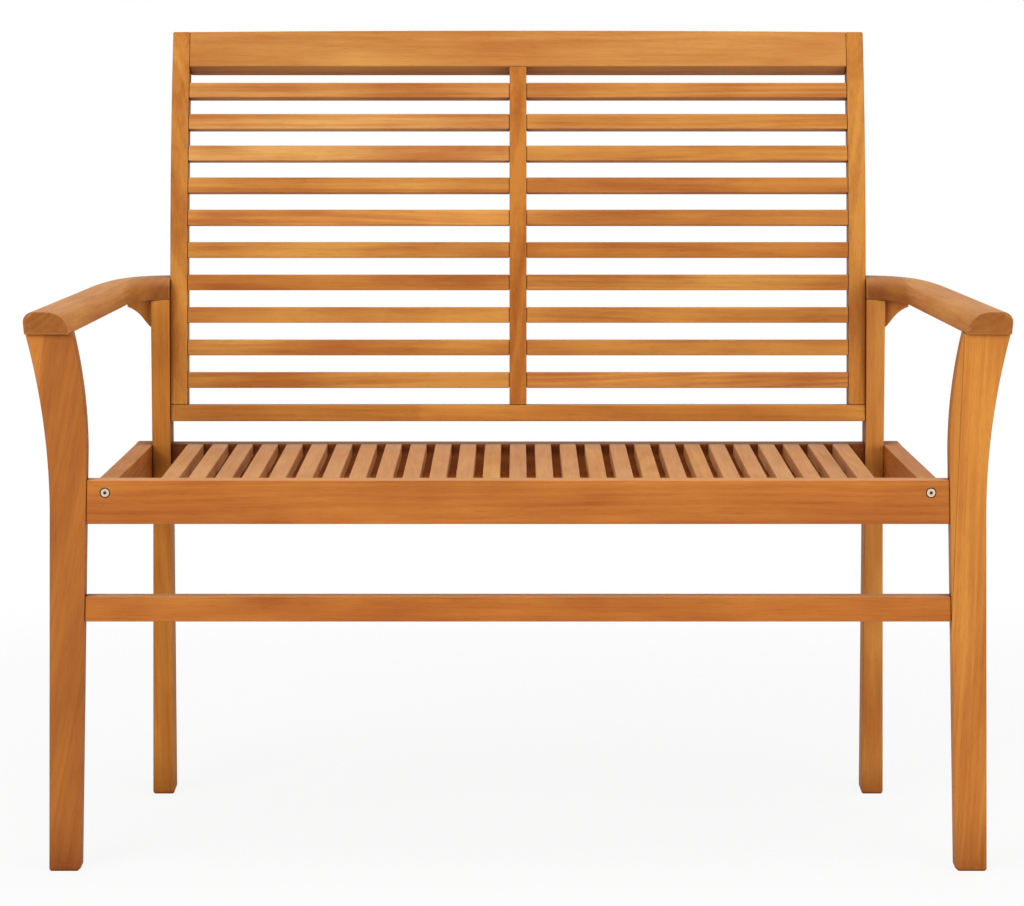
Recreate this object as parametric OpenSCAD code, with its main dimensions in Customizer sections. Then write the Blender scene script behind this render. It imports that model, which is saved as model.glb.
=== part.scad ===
// Garden bench of solid teak for two people.
// The front faces -Y, +X is to the right and the feet stand on z = 0.
// Depths below are measured backwards from the front faces of the front legs.

/* [Overall] */
// Clear width between the front legs where they are closest
front_gap = 980.5; // [820:0.5:1150]
// Width of the back panel, which is the clear width between the rear legs
back_w = 856; // [720:2:960]
// Height of the seat at its front edge
seat_h = 452.5; // [410:0.5:490]
// Height of the top faces of the arms
arm_h = 646; // [615:1:690]
// Distance from the front faces of the front legs to those of the rear legs at seat height
leg_spacing = 403; // [360:1:450]

/* [Front legs] */
// Thickness of a front leg from front to back
leg_t = 28; // [24:0.5:40]
// Width of a front leg at its waist, across the bench
leg_w = 42.8; // [38:0.2:60]
// Width of a front leg at the floor
foot_w = 36.5; // [28:0.5:50]
// How far the outer face of the foot stands out past the waist
foot_splay = 5.2; // [0:0.2:12]
// Radius of the outward sweep of the outer face above the seat
sweep_outer_r = 800; // [600:5:1200]
// Radius of the outward sweep of the inner face above the seat
sweep_inner_r = 600; // [500:5:1200]
// Drop below the seat's top at which the outer sweep starts
outer_bend_drop = 33; // [0:1:45]
// Rise above the seat's top at which the inner sweep starts
inner_bend_rise = 35; // [5:1:60]
// Chamfer on the inner edge of a front foot
foot_chamfer = 4; // [1:0.5:6]
// Smaller chamfer on the outer edges of the feet
foot_ease = 2; // [1:0.5:4]

/* [Rear legs] */
// Thickness of a rear leg across the bench, above its taper
rear_leg_t = 22.5; // [20:0.5:30]
// Thickness of a rear leg across the bench at the floor
rear_foot_t = 26.5; // [22:0.5:34]
// Depth of a rear leg at seat height
rear_leg_d = 55; // [48:1:70]
// Depth of a rear leg under the arm
rear_top_d = 50; // [40:1:60]
// Depth of a rear leg at the floor
rear_foot_d = 44; // [34:1:60]
// How far the front edge of the rear foot lies behind that of the leg at seat height
rear_foot_back = 18; // [0:1:40]
// How far the front edge leans forward from seat height to the arm
rear_top_lean = 3; // [0:1:8]

/* [Arms] */
// Thickness of an arm board
arm_t = 25.5; // [20:0.5:34]
// Overhang of the arm in front of the front leg
arm_overhang = 8; // [2:1:20]
// Overhang of the arm's outer front corner past the leg's outer face
arm_outer_lip = 1.5; // [0.5:0.1:10]
// Set-in of the arm's inner front corner from the leg's inner face
arm_inner_lip = 3.1; // [0:0.1:6]
// Distance of the inner elbow corner from the side of the back panel
elbow_in = 39; // [34:1:50]
// Distance of the outer elbow corner from the side of the back panel
elbow_out = 73; // [66:1:90]
// Length of the arm's inner edge that the elbow curve takes up
elbow_in_run = 70; // [40:1:100]
// Length of the arm's outer edge that the elbow curve takes up
elbow_out_run = 142; // [90:1:180]
// Overhang of the arm behind the rear leg
arm_rear_lip = 14; // [2:1:24]
// Set-back of the arm's rear part from the front edge of the rear leg
arm_front_setback = 2; // [0:1:8]
// Width of the broad rounding of an arm's inner top edge
arm_round_w = 27; // [8:0.5:30]
// Height of the flat inner edge left under that rounding
arm_edge = 2.5; // [1:0.5:10]
// Rounding of the outer top edge of an arm
arm_outer_r = 12; // [4:0.5:16]
// How far an arm's outer face slopes in towards its underside
arm_outer_lean = 1.2; // [0.1:0.1:3]

/* [Arm brackets] */
// Reach of the bracket under the arm, out from the rear leg
bracket_w = 29.5; // [16:1:34]
// Height of the bracket on the rear leg
bracket_h = 35; // [20:1:50]
// Thickness of the bracket
bracket_t = 20; // [12:1:30]
// Height of the square nose at the bracket's tip
bracket_nose = 9.5; // [2:0.5:13]

/* [Seat frame] */
// Slope of the seat, down towards the back, in degrees
seat_slope = 1.8; // [0:0.1:5]
// Height of the front rail
rail_h = 50.5; // [44:0.5:70]
// Thickness of the front rail
rail_t = 22; // [20:0.5:25]
// Set-back of the front rail and the stretcher from the front legs' front faces
rail_setback = 3; // [1:0.5:4]
// Height of the stretcher's top edge
stretcher_z = 318.5; // [200:0.5:350]
// Height of the stretcher
stretcher_h = 29; // [26:1:50]
// Height of the side rails
side_rail_h = 45; // [40:1:60]
// Thickness of the side rails
side_rail_t = 22; // [20:0.5:30]
// Distance of the side rail from the front leg's waist at the front rail
side_rail_inset = 12; // [4:1:40]
// Height of the rear rail
rear_rail_h = 45; // [38:1:60]
// Thickness of the rear rail
rear_rail_t = 25; // [22:0.5:30]
// Height of the bearer under the slats
bearer_h = 26; // [20:1:40]
// Thickness of the bearer under the slats
bearer_t = 25; // [20:1:40]

/* [Seat slats] */
// Number of seat slats
seat_slats = 27; // [15:1:31]
// Width over the two outermost slats
slats_span = 816; // [700:2:850]
// Width of a seat slat
seat_slat_w = 20; // [16:0.5:22]
// Thickness of a seat slat
seat_slat_t = 15; // [13:0.5:20]

/* [Back] */
// Gap between the seat's rear edge and the back panel
back_lift = 29.8; // [10:0.2:50]
// Set-back of the back panel from the rear legs' front edges
back_setback = 2; // [0:0.5:6]
// Lean of the straight lower part of the back, in degrees
back_lean = 5.4; // [2:0.2:10]
// Length of the straight lower part of the back
back_straight = 187; // [120:1:300]
// Radius of the curved upper part of the back
back_r = 924; // [700:1:2000]
// Depth of the back's frame from front to rear
frame_d = 36.5; // [26:0.5:40]
// Width of the two outer posts of the back
stile_w = 21; // [20:0.5:34]
// Width of the middle post of the back
middle_w = 21; // [20:0.5:34]
// Height of the bottom rail of the back
bottom_rail_h = 20.2; // [18:0.2:40]
// Height of the top rail of the back at its ends
top_rail_h = 45.5; // [36:0.5:70]
// Rise of the top edge's middle above its ends
crown = 2; // [0.5:0.5:10]
// Radius of the two upper corners of the back
corner_r = 3; // [1:0.5:8]

/* [Back slats] */
// Number of slat rows in the back
back_slats = 10; // [6:1:12]
// Height of a back slat
back_slat_h = 19.4; // [15:0.2:24]
// Gap between two rows of back slats
back_slat_gap = 20.7; // [12:0.1:26]
// Thickness of a back slat
back_slat_t = 16; // [13:0.5:20]
// Set-back of the back slats from the frame's front face
back_slat_setback = 1.5; // [0:0.5:4]

/* [Joinery] */
// Clearance between a tenon and its mortise, on each side
joint_gap = 0.2; // [0.1:0.05:0.4]
// Length of the tenons of the front rail and the stretcher
rail_tenon = 22; // [14:1:26]
// Length of the tenons on top of the legs
leg_tenon = 13; // [8:1:16]
// Length of the tenons of the rear rail
rear_rail_tenon = 13; // [8:1:16]
// Length of the tenons of the slats
slat_tenon = 8; // [5:0.5:9]
// Length of the tenons of the back's posts and top rail
frame_tenon = 12; // [8:0.5:14]

/* [Fasteners] */
// Diameter of a bolt's head
head_d = 9.5; // [9:0.5:12]
// Height of a bolt's head
head_h = 3.2; // [2.5:0.1:4]
// Clearance round a bolt's head, on each side
head_gap = 1.2; // [0.3:0.1:1.5]
// Depth of a bolt's head below the wood
head_sink = 0.4; // [0.1:0.1:1.5]
// Diameter of a bolt's shank
bolt_d = 6; // [5:0.5:6.5]
// Length of the bolts through the front rail, under the head
rail_bolt_l = 56; // [48:1:64]
// Distance of those bolts below the seat's top
rail_bolt_drop = 14.5; // [12:0.5:20]
// How far those bolts stand outside the middle of the side rails
rail_bolt_shift = 3; // [0:0.5:3.5]
// Distance of the cross nuts behind the front rail
nut_back = 28; // [22:1:32]
// Diameter of a cross nut
nut_d = 10; // [9:0.5:12]
// Length of a cross nut
nut_l = 16; // [12:1:18]
// Diameter of a wood screw's shank
screw_d = 5; // [4:0.5:6]
// Distance between the two screws that hold a side rail to its rear leg
leg_screw_pitch = 34; // [30:1:38]
// Wood left in front of the tip of a screw
tip_cover = 5; // [4:0.5:8]

/* [Hidden] */
leg_top_z = arm_h - arm_t;
half_back = back_w / 2;
rear_outer_x = half_back + rear_leg_t;

// Front legs: waist, feet and sweep
waist_in_x = front_gap / 2;
waist_out_x = waist_in_x + leg_w;
foot_out_x = waist_out_x + foot_splay;
foot_in_x = foot_out_x - foot_w;
outer_bend_z = seat_h - outer_bend_drop;
inner_bend_z = seat_h + inner_bend_rise;
sweep_steps = 14;

// Seat frame: depths and heights
rail_rear_y = rail_setback + rail_t;
rear_mid_y = leg_spacing + rear_leg_d / 2;
rear_rail_y = rear_mid_y - rear_rail_t / 2;
rear_leg_rear_y = leg_spacing + rear_leg_d;
slat_run = rear_rail_y - rail_rear_y;
bearer_y = rail_rear_y + slat_run / 2 - bearer_t;
side_rail_front_x = waist_in_x - side_rail_inset - side_rail_t;
rail_bolt_x = side_rail_front_x + side_rail_t / 2 + rail_bolt_shift;
rail_bolt_z = seat_h - rail_bolt_drop;
nut_y = rail_rear_y + nut_back;
slat_pitch = (slats_span - seat_slat_w) / (seat_slats - 1);

// Back: the lower front edge of the panel and the stations along its front face
back_y = leg_spacing + back_setback;
row_pitch = back_slat_h + back_slat_gap;
rows_start = bottom_rail_h + back_slat_gap + back_slat_h / 2;
top_rail_s = bottom_rail_h + back_slats * row_pitch + back_slat_gap;
back_l = top_rail_s + top_rail_h;

// Tenons take the middle of the piece that they end
tenon_share = 0.5;
root = 5;
beyond = 1;
socket_share = 0.45;

// Every node of the bench
seat_slat_names = [for (i = [1:seat_slats]) str("seat_slat_", i)];
back_row_names = [for (i = [1:back_slats]) str("back_slats_row_", i)];

// Height of the seat's top plane at depth y
function seat_z(y) = seat_h - (y - rail_rear_y) * tan(seat_slope);

// Sideways rise of an arc of radius r at height h above its start
function arc_rise(r, h) = r - sqrt(r * r - h * h);

// Outer and inner faces of a front leg at height z
function leg_outer_x(z) = waist_out_x
  + (z < outer_bend_z ? foot_splay * (1 - z / outer_bend_z)
                      : arc_rise(sweep_outer_r, z - outer_bend_z));
function leg_inner_x(z) = waist_in_x
  + (z < inner_bend_z ? (foot_in_x - waist_in_x) * (1 - z / inner_bend_z)
                      : arc_rise(sweep_inner_r, z - inner_bend_z));

// Inner face of a side rail at depth y: it closes in to the rear leg, then runs along it
function side_rail_x(y) = y > leg_spacing ? rear_outer_x
  : side_rail_front_x + (rear_outer_x - side_rail_front_x)
    * (y - rail_rear_y) / (leg_spacing - rail_rear_y);

// Lean of the back at length s along its front face, and a point off behind that face
function lean(s) = back_lean + max(0, s - back_straight) / back_r * 180 / PI;
function front_y(s) = back_y + min(s, back_straight) * sin(back_lean)
  + back_r * (cos(back_lean) - cos(lean(s)));
function front_z(s) = seat_z(rear_rail_y) + back_lift
  + min(s, back_straight) * cos(back_lean)
  + back_r * (sin(lean(s)) - sin(back_lean));
function back_point(s, off) =
  [front_y(s) + off * cos(lean(s)), front_z(s) - off * sin(lean(s))];

// Middle of the slat in a row, counted from the bottom, and of the gap above that row
function row_s(row) = rows_start + (row - 1) * row_pitch;
function gap_s(row) = row_s(row) + row_pitch / 2;

// Point at t on the curve from a to c that leaves and arrives towards b
function curve(a, b, c, t) = a * (1 - t) * (1 - t) + b * 2 * t * (1 - t) + c * t * t;

function unit(v) = v / norm(v);

// The depth that puts the bench's middle at y = 0
rear_y = back_point(back_l, frame_d)[0] + crown * sin(lean(back_l));
middle_y = (rear_y - arm_overhang) / 2;

// Brings a piece from depths behind the front legs into the bench's frame
module placed() {
  translate([0, -middle_y, 0]) children();
}

// The piece on the left is the mirror image of the one on the right
module side(name) {
  mirror([name == "left" ? 1 : 0, 0, 0]) children();
}

// A box from its lowest to its highest corner
module block(low, high) {
  translate(low) cube(high - low);
}

// A tenon or, with play, its mortise
module tenon(low, high, play = 0) {
  block(low - play * [1, 1, 1], high + play * [1, 1, 1]);
}

// Extrudes an outline drawn in width and height over a range of depth
module across_depth(y0, y1) {
  translate([0, y1, 0]) rotate([90, 0, 0]) linear_extrude(y1 - y0) children();
}

// Extrudes an outline drawn in depth and height over a range of width
module across_width(x0, x1) {
  translate([x0, 0, 0]) rotate([90, 0, 90]) linear_extrude(x1 - x0) children();
}

// Outline of a strip of the back from s0 to s1, between two depths behind its front face
module back_strip(s0, s1, off0, off1, steps = 1) {
  stations = [for (i = [0:steps]) s0 + (s1 - s0) * i / steps];
  front = [for (s = stations) back_point(s, off0)];
  rear = [for (i = [steps:-1:0]) back_point(stations[i], off1)];
  polygon(concat(front, rear));
}

// A countersunk-flush bolt along +X with its head's face at x = 0
module bolt(d, length) {
  difference() {
    union() {
      rotate([0, 90, 0]) cylinder(d = head_d, h = head_h, $fn = 48);
      rotate([0, 90, 0]) cylinder(d = d, h = head_h + length, $fn = 48);
    }
    translate([-beyond, 0, 0]) rotate([0, 90, 0])
      cylinder(d = head_d * socket_share, h = head_h / 2 + beyond, $fn = 6);
  }
}

// The hole for such a bolt, with its head's seat sunk below the surface at x = 0
module bolt_hole(d, length) {
  rotate([0, 90, 0]) translate([0, 0, -beyond])
    cylinder(d = head_d + 2 * head_gap, h = head_sink + head_h + beyond, $fn = 48);
  rotate([0, 90, 0])
    cylinder(d = d + 2 * joint_gap, h = head_sink + head_h + length + 2 * joint_gap, $fn = 48);
}

// Tenons on the tops of the legs, which the arms take in their mortises
front_tenon_x = (leg_outer_x(leg_top_z) + leg_inner_x(leg_top_z)) / 2;
rear_top_y = leg_spacing - rear_top_lean;
module front_leg_tenon(play = 0) {
  half_x = leg_w * tenon_share / 2;
  half_y = leg_t * tenon_share / 2;
  tenon([front_tenon_x - half_x, leg_t / 2 - half_y, leg_top_z - root],
        [front_tenon_x + half_x, leg_t / 2 + half_y, leg_top_z + leg_tenon], play);
}
module rear_leg_tenon(play = 0) {
  mid_x = half_back + rear_leg_t / 2;
  mid_y = rear_top_y + rear_top_d / 2;
  half_x = rear_leg_t * tenon_share / 2;
  half_y = rear_top_d * tenon_share / 2;
  tenon([mid_x - half_x, mid_y - half_y, leg_top_z - root],
        [mid_x + half_x, mid_y + half_y, leg_top_z + leg_tenon], play);
}

// Tenon at the right end of the front rail or the stretcher, between heights z0 and z1
module rail_end_tenon(z0, z1, play = 0) {
  inset = (z1 - z0) * (1 - tenon_share) / 2;
  mid_y = rail_setback + rail_t / 2;
  half_y = rail_t * tenon_share / 2;
  face_x = leg_inner_x((z0 + z1) / 2);
  tenon([face_x - root, mid_y - half_y, z0 + inset],
        [face_x + rail_tenon, mid_y + half_y, z1 - inset], play);
}

// Tenon at the right end of the rear rail
module rear_rail_end_tenon(play = 0) {
  top = seat_z(rear_rail_y);
  inset = rear_rail_h * (1 - tenon_share) / 2;
  half_y = rear_rail_t * tenon_share / 2;
  tenon([half_back - root, rear_mid_y - half_y, top - rear_rail_h + inset],
        [half_back + rear_rail_tenon, rear_mid_y + half_y, top - inset], play);
}

// Tenons of all seat slats in the front rail and in the rear rail
function seat_slat_x(i) = -slats_span / 2 + seat_slat_w / 2 + (i - 1) * slat_pitch;
module seat_slat_tenons(i, play = 0) {
  x = seat_slat_x(i);
  half_x = seat_slat_w * tenon_share / 2;
  half_z = seat_slat_t * tenon_share / 2;
  front_z = seat_z(rail_rear_y) - seat_slat_t / 2;
  rear_z = seat_z(rear_rail_y) - seat_slat_t / 2;
  tenon([x - half_x, rail_rear_y - slat_tenon, front_z - half_z],
        [x + half_x, rail_rear_y + root, front_z + half_z], play);
  tenon([x - half_x, rear_rail_y - root, rear_z - half_z],
        [x + half_x, rear_rail_y + slat_tenon, rear_z + half_z], play);
}

// A post's tenon in the bottom rail, and that of the middle post in the top rail
module post_foot_tenon(x, w, play = 0) {
  half_x = w * tenon_share / 2;
  inset = frame_d * (1 - tenon_share) / 2;
  across_width(x - half_x - play, x + half_x + play)
    back_strip(bottom_rail_h - frame_tenon - play, bottom_rail_h + root,
               inset - play, frame_d - inset + play);
}
module middle_head_tenon(play = 0) {
  half_x = middle_w * tenon_share / 2;
  inset = frame_d * (1 - tenon_share) / 2;
  across_width(-half_x - play, half_x + play)
    back_strip(top_rail_s - root, top_rail_s + frame_tenon + play,
               inset - play, frame_d - inset + play);
}

// The top rail's tenon in the right stile
module top_rail_tenon(play = 0) {
  inset_s = top_rail_h * (1 - tenon_share) / 2;
  inset = frame_d * (1 - tenon_share) / 2;
  face_x = half_back - stile_w;
  across_width(face_x - root, face_x + frame_tenon + play)
    back_strip(top_rail_s + inset_s - play, back_l - inset_s + play,
               inset - play, frame_d - inset + play, 4);
}

// Outline of a back slat's end, or of its tenon
module back_slat_end(row, share = 1, play = 0) {
  half_s = back_slat_h * share / 2 + play;
  mid = back_slat_setback + back_slat_t / 2;
  half_off = back_slat_t * share / 2 + play;
  back_strip(row_s(row) - half_s, row_s(row) + half_s, mid - half_off, mid + half_off);
}

// The slats' tenons that enter a post whose face is at x, from the side that way points to
module back_slat_tenons(x, way, play = 0) {
  tip = x + way * (slat_tenon + play);
  start = x - way * root;
  for (row = [1:back_slats])
    across_width(min(tip, start), max(tip, start)) back_slat_end(row, tenon_share, play);
}

// Everything above the crowned top edge of the back and its two rounded upper corners
module above_crown() {
  crown_r = (half_back * half_back + crown * crown) / (2 * crown);
  crown_steps = 24;
  corner_steps = 4;
  corner_x = half_back - corner_r;
  function crown_u(x) = crown - arc_rise(crown_r, x);
  corner_u = crown_u(corner_x) - corner_r;
  edge = [for (i = [1:crown_steps - 1])
    let (x = corner_x * (1 - 2 * i / crown_steps)) [x, crown_u(x)]];
  right = [for (i = [0:corner_steps])
    let (a = 90 * i / corner_steps) [corner_x + corner_r * cos(a), corner_u + corner_r * sin(a)]];
  left = [for (i = [corner_steps:-1:0]) [-right[i][0], right[i][1]]];
  side_x = half_back + beyond;
  top_u = crown + corner_r;
  translate([0, front_y(back_l), front_z(back_l)]) rotate([-lean(back_l), 0, 0])
    across_depth(-frame_d, 2 * frame_d)
      polygon(concat([[side_x, corner_u]], right, edge, left,
                     [[-side_x, corner_u], [-side_x, top_u], [side_x, top_u]]));
}

// Screws from the rear legs into the stiles: in the lowest gap and in one near the arms
upper_gap = floor((leg_top_z - 2 * head_d - front_z(rows_start)) / row_pitch - 0.5);
module at_back_screws() {
  for (row = [0, upper_gap]) {
    p = back_point(gap_s(row), frame_d / 2);
    translate([rear_outer_x, p[0], p[1]]) rotate([0, 0, 180]) children();
  }
}
back_screw_l = rear_leg_t + stile_w - head_sink - head_h - tip_cover;

// Screws from the side rails into the rear legs, beside the rear rail's tenon
leg_screw_l = side_rail_t + rear_leg_t - head_sink - head_h - tip_cover;
module at_side_rail_screws() {
  for (way = [-1, 1]) {
    y = rear_mid_y + way * leg_screw_pitch / 2;
    translate([rear_outer_x + side_rail_t, y, seat_z(y) - side_rail_h / 2])
      rotate([0, 0, 180]) children();
  }
}

// Bolts from the front rail into the side rails
module at_rail_bolt() {
  translate([rail_bolt_x, rail_setback, rail_bolt_z]) rotate([0, 0, 90]) children();
}

// Sawn front leg: tapered below the seat, swept outwards above it
module front_leg() {
  outer = [for (i = [0:sweep_steps])
    let (z = outer_bend_z + (leg_top_z - outer_bend_z) * i / sweep_steps) [leg_outer_x(z), z]];
  inner = [for (i = [sweep_steps:-1:0])
    let (z = inner_bend_z + (leg_top_z - inner_bend_z) * i / sweep_steps) [leg_inner_x(z), z]];
  foot = [[leg_inner_x(foot_chamfer), foot_chamfer], [foot_in_x + foot_chamfer, 0],
          [foot_out_x - foot_ease, 0], [leg_outer_x(foot_ease), foot_ease]];
  color("peru") difference() {
    union() {
      across_depth(0, leg_t) polygon(concat(foot, outer, inner));
      front_leg_tenon();
    }
    rail_end_tenon(seat_h - rail_h, seat_h, joint_gap);
    rail_end_tenon(stretcher_z - stretcher_h, stretcher_z, joint_gap);
  }
}

// Rear leg: a plank on edge that leans back a little towards its foot
module rear_leg() {
  seat_rear_z = seat_z(leg_spacing);
  taper_z = seat_rear_z - side_rail_h - rear_leg_d;
  foot_y = leg_spacing + rear_foot_back;
  foot_x = half_back + rear_foot_t;
  color("peru") difference() {
    union() {
      intersection() {
        across_width(half_back, foot_x) polygon([
          [foot_y, 0], [foot_y + rear_foot_d, 0], [rear_leg_rear_y, seat_rear_z],
          [rear_top_y + rear_top_d, leg_top_z], [rear_top_y, leg_top_z],
          [leg_spacing, seat_rear_z]]);
        across_depth(rear_top_y - beyond, foot_y + rear_foot_d + rear_leg_d) polygon([
          [half_back, foot_ease], [half_back + foot_ease, 0], [foot_x - foot_ease, 0],
          [foot_x, foot_ease], [rear_outer_x, taper_z], [rear_outer_x, leg_top_z],
          [half_back, leg_top_z]]);
      }
      rear_leg_tenon();
    }
    rear_rail_end_tenon(joint_gap);
    at_back_screws() bolt_hole(screw_d, back_screw_l);
    at_side_rail_screws() bolt_hole(screw_d, leg_screw_l);
  }
}

// Plan of the arm: points on its inner and outer edges, from the front to the back panel
arm_front_in = [leg_inner_x(leg_top_z) + arm_inner_lip, -arm_overhang];
arm_front_out = [leg_outer_x(leg_top_z) + arm_outer_lip, -arm_overhang];
arm_end_in = [half_back, rear_top_y + arm_front_setback];
arm_end_out = [half_back, rear_top_y + rear_top_d + arm_rear_lip];
elbow_in_point = [half_back + elbow_in, arm_end_in[1]];
elbow_out_point = [half_back + elbow_out, arm_end_out[1]];
elbow_in_start = elbow_in_point + elbow_in_run * unit(arm_front_in - elbow_in_point);
elbow_out_start = elbow_out_point + elbow_out_run * unit(arm_front_out - elbow_out_point);
straight_steps = 4;
elbow_steps = 14;
round_steps = 8;
arm_in = concat(
  [for (i = [0:straight_steps - 1])
    arm_front_in + (elbow_in_start - arm_front_in) * i / straight_steps],
  [for (i = [0:elbow_steps]) curve(elbow_in_start, elbow_in_point, arm_end_in, i / elbow_steps)]);
arm_out = concat(
  [for (i = [0:straight_steps - 1])
    arm_front_out + (elbow_out_start - arm_front_out) * i / straight_steps],
  [for (i = [0:elbow_steps]) curve(elbow_out_start, elbow_out_point, arm_end_out, i / elbow_steps)]);

// Cross-section of the arm at a station: flat underneath, its upper edges rounded in and out
arm_round_h = arm_t - arm_edge;
function arm_section(p, q) = let (w = norm(q - p), along = unit(q - p))
  [for (uv = concat(
    [[0, 0], [w - arm_outer_lean, 0]],
    [for (i = [0:round_steps]) let (a = 90 * i / round_steps)
      [w - arm_outer_r * (1 - cos(a)), arm_t - arm_outer_r * (1 - sin(a))]],
    [for (i = [0:round_steps]) let (a = 90 * i / round_steps)
      [arm_round_w * (1 - sin(a)), arm_t - arm_round_h * (1 - cos(a))]]))
    let (xy = p + along * uv[0]) [xy[0], xy[1], leg_top_z + uv[1]]];

// Shaped arm: it runs back from the front leg and turns in over the rear leg
module arm() {
  stations = len(arm_in);
  ring = 2 * round_steps + 4;
  points = [for (i = [0:stations - 1]) each arm_section(arm_in[i], arm_out[i])];
  skin = [for (i = [0:stations - 2], j = [0:ring - 1])
    let (k = (j + 1) % ring, a = i * ring, b = a + ring)
    each [[a + j, a + k, b + k], [a + j, b + k, b + j]]];
  front_end = [for (j = [ring - 1:-1:0]) j];
  rear_end = [for (j = [0:ring - 1]) (stations - 1) * ring + j];
  color("chocolate") difference() {
    polyhedron(points, concat([front_end], skin, [rear_end]));
    front_leg_tenon(joint_gap);
    rear_leg_tenon(joint_gap);
  }
}

// Bracket in the corner between the rear leg and the arm, with an ogee lower edge
module arm_bracket() {
  steps = 12;
  heel = [0, -bracket_h];
  swell = [0.3 * bracket_w, -0.86 * bracket_h];
  hollow = [0.34 * bracket_w, -0.48 * bracket_h];
  tip = [bracket_w, -bracket_nose];
  edge = [for (i = [0:steps]) let (t = i / steps)
    (1 - t) * curve(heel, swell, hollow, t) + t * curve(swell, hollow, tip, t)];
  mid_y = rear_top_y + rear_top_d * 0.4;
  color("sienna") translate([rear_outer_x, 0, leg_top_z])
    across_depth(mid_y - bracket_t / 2, mid_y + bracket_t / 2)
      polygon(concat([[0, 0]], edge, [[bracket_w, 0]]));
}

// A board between the front legs that meets their sloping inner faces
module leg_to_leg(z0, z1) {
  across_depth(rail_setback, rail_rear_y) polygon([
    [-leg_inner_x(z0), z0], [leg_inner_x(z0), z0], [leg_inner_x(z1), z1], [-leg_inner_x(z1), z1]]);
  for (name = ["left", "right"]) side(name) rail_end_tenon(z0, z1);
}

module seat_front_rail() {
  color("chocolate") difference() {
    leg_to_leg(seat_h - rail_h, seat_h);
    for (i = [1:seat_slats]) seat_slat_tenons(i, joint_gap);
    for (name = ["left", "right"]) side(name) at_rail_bolt() bolt_hole(bolt_d, rail_bolt_l);
  }
}

module front_stretcher() {
  color("chocolate") leg_to_leg(stretcher_z - stretcher_h, stretcher_z);
}

// Side rail: runs from the front rail along the outer face of the rear leg
module seat_side_rail() {
  z0 = seat_z(rail_rear_y);
  z1 = seat_z(rear_leg_rear_y);
  color("burlywood") difference() {
    intersection() {
      across_width(rear_outer_x - side_rail_t, side_rail_front_x + 2 * side_rail_t + rear_leg_t)
        polygon([[rail_rear_y, z0 - side_rail_h], [rear_leg_rear_y, z1 - side_rail_h],
                 [rear_leg_rear_y, z1], [rail_rear_y, z0]]);
      translate([0, 0, z1 - 2 * side_rail_h]) linear_extrude(4 * side_rail_h) polygon([
        [side_rail_front_x, rail_rear_y], [side_rail_front_x + side_rail_t, rail_rear_y],
        [rear_outer_x + side_rail_t, leg_spacing], [rear_outer_x + side_rail_t, rear_leg_rear_y],
        [rear_outer_x, rear_leg_rear_y], [rear_outer_x, leg_spacing]]);
    }
    at_rail_bolt() bolt_hole(bolt_d, rail_bolt_l);
    at_side_rail_screws() bolt_hole(screw_d, leg_screw_l);
    translate([rail_bolt_x, nut_y, seat_h - 2 * side_rail_h])
      cylinder(d = nut_d + 2 * joint_gap,
               h = 2 * side_rail_h - rail_bolt_drop + nut_l / 2 + joint_gap, $fn = 48);
  }
}

module seat_rear_rail() {
  top = seat_z(rear_rail_y);
  color("chocolate") difference() {
    union() {
      block([-half_back, rear_rail_y, top - rear_rail_h],
            [half_back, rear_rail_y + rear_rail_t, top]);
      for (name = ["left", "right"]) side(name) rear_rail_end_tenon();
    }
    for (i = [1:seat_slats]) seat_slat_tenons(i, joint_gap);
  }
}

// Bearer that ties the slats together under their middle and ends under the outermost two
module seat_bearer() {
  y1 = bearer_y + bearer_t;
  color("sienna") across_width(-slats_span / 2, slats_span / 2) polygon([
    [bearer_y, seat_z(bearer_y) - seat_slat_t - bearer_h],
    [y1, seat_z(y1) - seat_slat_t - bearer_h],
    [y1, seat_z(y1) - seat_slat_t], [bearer_y, seat_z(bearer_y) - seat_slat_t]]);
}

module seat_slat(i) {
  x = seat_slat_x(i);
  z0 = seat_z(rail_rear_y);
  z1 = seat_z(rear_rail_y);
  color("burlywood") union() {
    across_width(x - seat_slat_w / 2, x + seat_slat_w / 2) polygon([
      [rail_rear_y, z0 - seat_slat_t], [rear_rail_y, z1 - seat_slat_t],
      [rear_rail_y, z1], [rail_rear_y, z0]]);
    seat_slat_tenons(i);
  }
}

module back_bottom_rail() {
  stile_x = half_back - stile_w / 2;
  color("goldenrod") difference() {
    across_width(-half_back, half_back) back_strip(0, bottom_rail_h, 0, frame_d);
    for (x = [-stile_x, stile_x]) post_foot_tenon(x, stile_w, joint_gap);
    post_foot_tenon(0, middle_w, joint_gap);
  }
}

// Outer post of the back, sawn to the back's curve
module back_stile() {
  post_steps = 20;
  color("goldenrod") difference() {
    union() {
      across_width(half_back - stile_w, half_back)
        back_strip(bottom_rail_h, back_l + crown, 0, frame_d, post_steps);
      post_foot_tenon(half_back - stile_w / 2, stile_w);
    }
    above_crown();
    top_rail_tenon(joint_gap);
    back_slat_tenons(half_back - stile_w, 1, joint_gap);
    at_back_screws() bolt_hole(screw_d, back_screw_l);
  }
}

module back_middle_stile() {
  post_steps = 20;
  color("goldenrod") difference() {
    union() {
      across_width(-middle_w / 2, middle_w / 2)
        back_strip(bottom_rail_h, top_rail_s, 0, frame_d, post_steps);
      post_foot_tenon(0, middle_w);
      middle_head_tenon();
    }
    back_slat_tenons(middle_w / 2, -1, joint_gap);
    back_slat_tenons(-middle_w / 2, 1, joint_gap);
  }
}

module back_top_rail() {
  inner_x = half_back - stile_w;
  color("goldenrod") difference() {
    union() {
      across_width(-inner_x, inner_x) back_strip(top_rail_s, back_l + 2 * crown, 0, frame_d, 4);
      for (name = ["left", "right"]) side(name) top_rail_tenon();
    }
    above_crown();
    middle_head_tenon(joint_gap);
  }
}

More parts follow.
